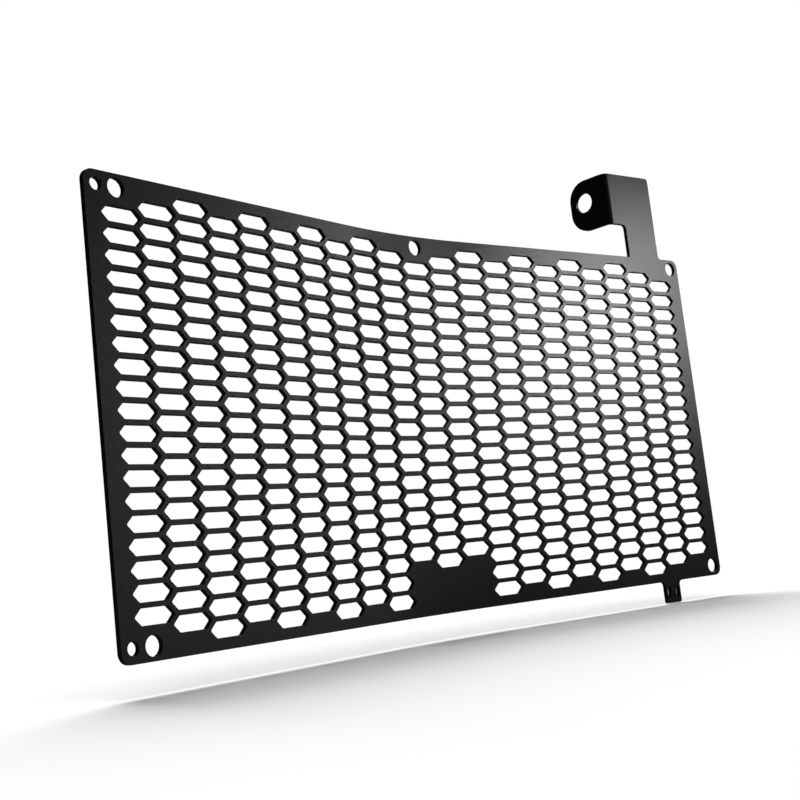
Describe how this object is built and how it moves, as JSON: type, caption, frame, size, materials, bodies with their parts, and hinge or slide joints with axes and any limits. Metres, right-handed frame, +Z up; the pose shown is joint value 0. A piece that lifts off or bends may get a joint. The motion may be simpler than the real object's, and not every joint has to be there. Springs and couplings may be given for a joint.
{
  "type": "motorcycle radiator guard",
  "caption": "Bent hexagon-mesh sheet guard that bolts in front of a motorcycle radiator, with an arm folded back into a fixing ear and a slotted lower tongue.",
  "frame": {"origin": "centre of the upper middle bolt hole, half way through the sheet", "axes": "+Z up along the guard's upright edges; +X to the right seen from the front, along the sheet at the middle of the bend and along the bolt through the ear; -Y towards the front, which is the hollow side of the bend"},
  "size_m": [0.3478, 0.0289, 0.2178],
  "materials": {
    "powder_coat": "satin black powder coat on aluminium sheet"
  },
  "bodies": {
    "root": {"guard": "powder_coat"}
  },
  "joints": []
}
